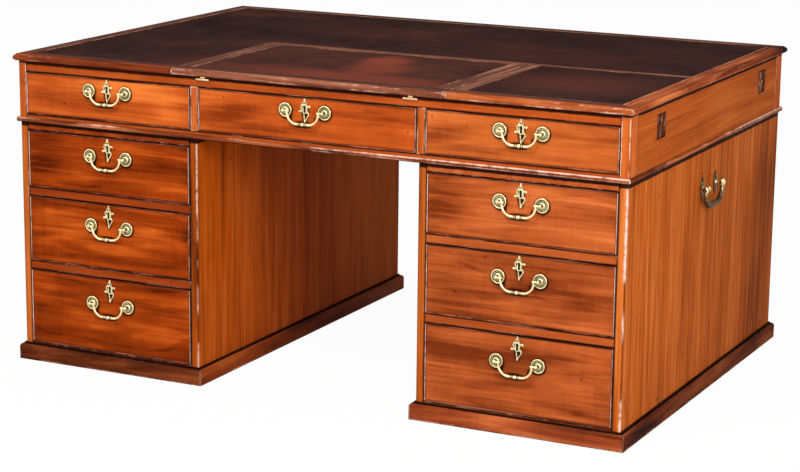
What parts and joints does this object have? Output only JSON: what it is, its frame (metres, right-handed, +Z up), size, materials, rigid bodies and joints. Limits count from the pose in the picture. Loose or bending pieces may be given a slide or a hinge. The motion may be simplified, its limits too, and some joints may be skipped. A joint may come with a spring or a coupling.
{
  "type": "partners desk",
  "caption": "Partners pedestal desk with a leather-lined top, hinged writing slope, frieze drawers to both sides, front pedestal drawers, rear cupboards and brass bail handles.",
  "frame": {"origin": "on the floor, under the middle of the desk", "axes": "+X along the front to the right of the sitter facing the desk's front, -Y towards that sitter, +Z up"},
  "size_m": [1.6434, 1.1272, 0.774],
  "materials": {
    "border_mahogany": "french polished, worn on the arrises",
    "frieze_mahogany": "french polished, sun-faded",
    "pedestal_mahogany": "french polished",
    "side_mahogany": "french polished, streaked grain",
    "oak_lining": "bare, aged",
    "leather": "tooled hide, worn",
    "brass": "old lacquered brass"
  },
  "bodies": {
    "desk": {"top_border": "border_mahogany", "top_groundwork": "oak_lining", "top_leather": "leather", "slope_well": "oak_lining", "slope_hinge_tails": "brass", "frieze_frame": "frieze_mahogany", "frieze_ends": "side_mahogany", "drawer_runners": "oak_lining", "waist_moulding": "border_mahogany", "carrying_plates": "brass", "left_pedestal_case": "side_mahogany", "right_pedestal_case": "side_mahogany", "plinths": "border_mahogany", "door_hinge_tails": "brass"},
    "writing_slope": {"slope_board": "border_mahogany", "slope_leather": "leather", "slope_hinge_flaps": "brass"},
    "slope_strut": {"slope_strut": "oak_lining"},
    "left_upper_drawer": {"left_upper_drawer": "pedestal_mahogany", "left_upper_drawer_brass": "brass"},
    "left_upper_drawer_bail": {"left_upper_drawer_bail": "brass"},
    "left_middle_drawer": {"left_middle_drawer": "pedestal_mahogany", "left_middle_drawer_brass": "brass"},
    "left_middle_drawer_bail": {"left_middle_drawer_bail": "brass"},
    "left_lower_drawer": {"left_lower_drawer": "pedestal_mahogany", "left_lower_drawer_brass": "brass"},
    "left_lower_drawer_bail": {"left_lower_drawer_bail": "brass"},
    "right_upper_drawer": {"right_upper_drawer": "pedestal_mahogany", "right_upper_drawer_brass": "brass"},
    "right_upper_drawer_bail": {"right_upper_drawer_bail": "brass"},
    "right_middle_drawer": {"right_middle_drawer": "pedestal_mahogany", "right_middle_drawer_brass": "brass"},
    "right_middle_drawer_bail": {"right_middle_drawer_bail": "brass"},
    "right_lower_drawer": {"right_lower_drawer": "pedestal_mahogany", "right_lower_drawer_brass": "brass"},
    "right_lower_drawer_bail": {"right_lower_drawer_bail": "brass"},
    "front_left_frieze_drawer": {"front_left_frieze_drawer": "frieze_mahogany", "front_left_frieze_drawer_brass": "brass"},
    "front_left_frieze_drawer_bail": {"front_left_frieze_drawer_bail": "brass"},
    "front_centre_frieze_drawer": {"front_centre_frieze_drawer": "frieze_mahogany", "front_centre_frieze_drawer_brass": "brass"},
    "front_centre_frieze_drawer_bail": {"front_centre_frieze_drawer_bail": "brass"},
    "front_right_frieze_drawer": {"front_right_frieze_drawer": "frieze_mahogany", "front_right_frieze_drawer_brass": "brass"},
    "front_right_frieze_drawer_bail": {"front_right_frieze_drawer_bail": "brass"},
    "back_left_frieze_drawer": {"back_left_frieze_drawer": "frieze_mahogany", "back_left_frieze_drawer_brass": "brass"},
    "back_left_frieze_drawer_bail": {"back_left_frieze_drawer_bail": "brass"},
    "back_centre_frieze_drawer": {"back_centre_frieze_drawer": "frieze_mahogany", "back_centre_frieze_drawer_brass": "brass"},
    "back_centre_frieze_drawer_bail": {"back_centre_frieze_drawer_bail": "brass"},
    "back_right_frieze_drawer": {"back_right_frieze_drawer": "frieze_mahogany", "back_right_frieze_drawer_brass": "brass"},
    "back_right_frieze_drawer_bail": {"back_right_frieze_drawer_bail": "brass"},
    "left_cupboard_door": {"left_cupboard_door": "pedestal_mahogany", "left_door_brass": "brass"},
    "left_carrying_bail": {"left_carrying_bail": "brass"},
    "right_cupboard_door": {"right_cupboard_door": "pedestal_mahogany", "right_door_brass": "brass"},
    "right_carrying_bail": {"right_carrying_bail": "brass"}
  },
  "joints": [
    {"name": "slope_tilt", "type": "hinge", "parent": "desk", "child": "writing_slope", "pos_m": [0, -0.5503, 0.7505], "axis": [1, 0, 0], "range_deg": [0, 35]},
    {"name": "strut_swing", "type": "hinge", "parent": "writing_slope", "child": "slope_strut", "pos_m": [0, -0.3243, 0.753], "axis": [1, 0, 0], "range_deg": [-70, 0]},
    {"name": "left_upper_drawer_slide", "type": "slide", "parent": "desk", "child": "left_upper_drawer", "axis": [0, -1, 0], "range_m": [0, 0.4]},
    {"name": "left_upper_drawer_bail_swing", "type": "hinge", "parent": "left_upper_drawer", "child": "left_upper_drawer_bail", "pos_m": [-0.545, -0.557, 0.537], "axis": [-1, 0, 0], "range_deg": [0, 95]},
    {"name": "left_middle_drawer_slide", "type": "slide", "parent": "desk", "child": "left_middle_drawer", "axis": [0, -1, 0], "range_m": [0, 0.4]},
    {"name": "left_middle_drawer_bail_swing", "type": "hinge", "parent": "left_middle_drawer", "child": "left_middle_drawer_bail", "pos_m": [-0.545, -0.557, 0.3645], "axis": [-1, 0, 0], "range_deg": [0, 95]},
    {"name": "left_lower_drawer_slide", "type": "slide", "parent": "desk", "child": "left_lower_drawer", "axis": [0, -1, 0], "range_m": [0, 0.4]},
    {"name": "left_lower_drawer_bail_swing", "type": "hinge", "parent": "left_lower_drawer", "child": "left_lower_drawer_bail", "pos_m": [-0.545, -0.557, 0.168], "axis": [-1, 0, 0], "range_deg": [0, 95]},
    {"name": "right_upper_drawer_slide", "type": "slide", "parent": "desk", "child": "right_upper_drawer", "axis": [0, -1, 0], "range_m": [0, 0.4]},
    {"name": "right_upper_drawer_bail_swing", "type": "hinge", "parent": "right_upper_drawer", "child": "right_upper_drawer_bail", "pos_m": [0.545, -0.557, 0.537], "axis": [-1, 0, 0], "range_deg": [0, 95]},
    {"name": "right_middle_drawer_slide", "type": "slide", "parent": "desk", "child": "right_middle_drawer", "axis": [0, -1, 0], "range_m": [0, 0.4]},
    {"name": "right_middle_drawer_bail_swing", "type": "hinge", "parent": "right_middle_drawer", "child": "right_middle_drawer_bail", "pos_m": [0.545, -0.557, 0.3645], "axis": [-1, 0, 0], "range_deg": [0, 95]},
    {"name": "right_lower_drawer_slide", "type": "slide", "parent": "desk", "child": "right_lower_drawer", "axis": [0, -1, 0], "range_m": [0, 0.4]},
    {"name": "right_lower_drawer_bail_swing", "type": "hinge", "parent": "right_lower_drawer", "child": "right_lower_drawer_bail", "pos_m": [0.545, -0.557, 0.168], "axis": [-1, 0, 0], "range_deg": [0, 95]},
    {"name": "front_left_frieze_drawer_slide", "type": "slide", "parent": "desk", "child": "front_left_frieze_drawer", "axis": [0, -1, 0], "range_m": [0, 0.4]},
    {"name": "front_left_frieze_drawer_bail_swing", "type": "hinge", "parent": "front_left_frieze_drawer", "child": "front_left_frieze_drawer_bail", "pos_m": [-0.543, -0.559, 0.698], "axis": [-1, 0, 0], "range_deg": [0, 95]},
    {"name": "front_centre_frieze_drawer_slide", "type": "slide", "parent": "desk", "child": "front_centre_frieze_drawer", "axis": [0, -1, 0], "range_m": [0, 0.4]},
    {"name": "front_centre_frieze_drawer_bail_swing", "type": "hinge", "parent": "front_centre_frieze_drawer", "child": "front_centre_frieze_drawer_bail", "pos_m": [0, -0.559, 0.698], "axis": [-1, 0, 0], "range_deg": [0, 95]},
    {"name": "front_right_frieze_drawer_slide", "type": "slide", "parent": "desk", "child": "front_right_frieze_drawer", "axis": [0, -1, 0], "range_m": [0, 0.4]},
    {"name": "front_right_frieze_drawer_bail_swing", "type": "hinge", "parent": "front_right_frieze_drawer", "child": "front_right_frieze_drawer_bail", "pos_m": [0.543, -0.559, 0.698], "axis": [-1, 0, 0], "range_deg": [0, 95]},
    {"name": "back_left_frieze_drawer_slide", "type": "slide", "parent": "desk", "child": "back_left_frieze_drawer", "axis": [0, 1, 0], "range_m": [0, 0.4]},
    {"name": "back_left_frieze_drawer_bail_swing", "type": "hinge", "parent": "back_left_frieze_drawer", "child": "back_left_frieze_drawer_bail", "pos_m": [0.543, 0.559, 0.698], "axis": [1, 0, 0], "range_deg": [0, 95]},
    {"name": "back_centre_frieze_drawer_slide", "type": "slide", "parent": "desk", "child": "back_centre_frieze_drawer", "axis": [0, 1, 0], "range_m": [0, 0.4]},
    {"name": "back_centre_frieze_drawer_bail_swing", "type": "hinge", "parent": "back_centre_frieze_drawer", "child": "back_centre_frieze_drawer_bail", "pos_m": [0, 0.559, 0.698], "axis": [1, 0, 0], "range_deg": [0, 95]},
    {"name": "back_right_frieze_drawer_slide", "type": "slide", "parent": "desk", "child": "back_right_frieze_drawer", "axis": [0, 1, 0], "range_m": [0, 0.4]},
    {"name": "back_right_frieze_drawer_bail_swing", "type": "hinge", "parent": "back_right_frieze_drawer", "child": "back_right_frieze_drawer_bail", "pos_m": [-0.543, 0.559, 0.698], "axis": [1, 0, 0], "range_deg": [0, 95]},
    {"name": "left_cupboard_door_swing", "type": "hinge", "parent": "desk", "child": "left_cupboard_door", "pos_m": [-0.7769, 0.5483, 0.3165], "axis": [0, 0, 1], "range_deg": [0, 105]},
    {"name": "left_carrying_bail_swing", "type": "hinge", "parent": "desk", "child": "left_carrying_bail", "pos_m": [-0.8125, 0, 0.507], "axis": [0, 1, 0], "range_deg": [0, 90]},
    {"name": "right_cupboard_door_swing", "type": "hinge", "parent": "desk", "child": "right_cupboard_door", "pos_m": [0.7769, 0.5483, 0.3165], "axis": [0, 0, -1], "range_deg": [0, 105]},
    {"name": "right_carrying_bail_swing", "type": "hinge", "parent": "desk", "child": "right_carrying_bail", "pos_m": [0.8125, 0, 0.507], "axis": [0, -1, 0], "range_deg": [0, 90]}
  ],
  "couplings": [
    {"joint": "strut_swing", "follows": "slope_tilt", "ratio": -2}
  ]
}
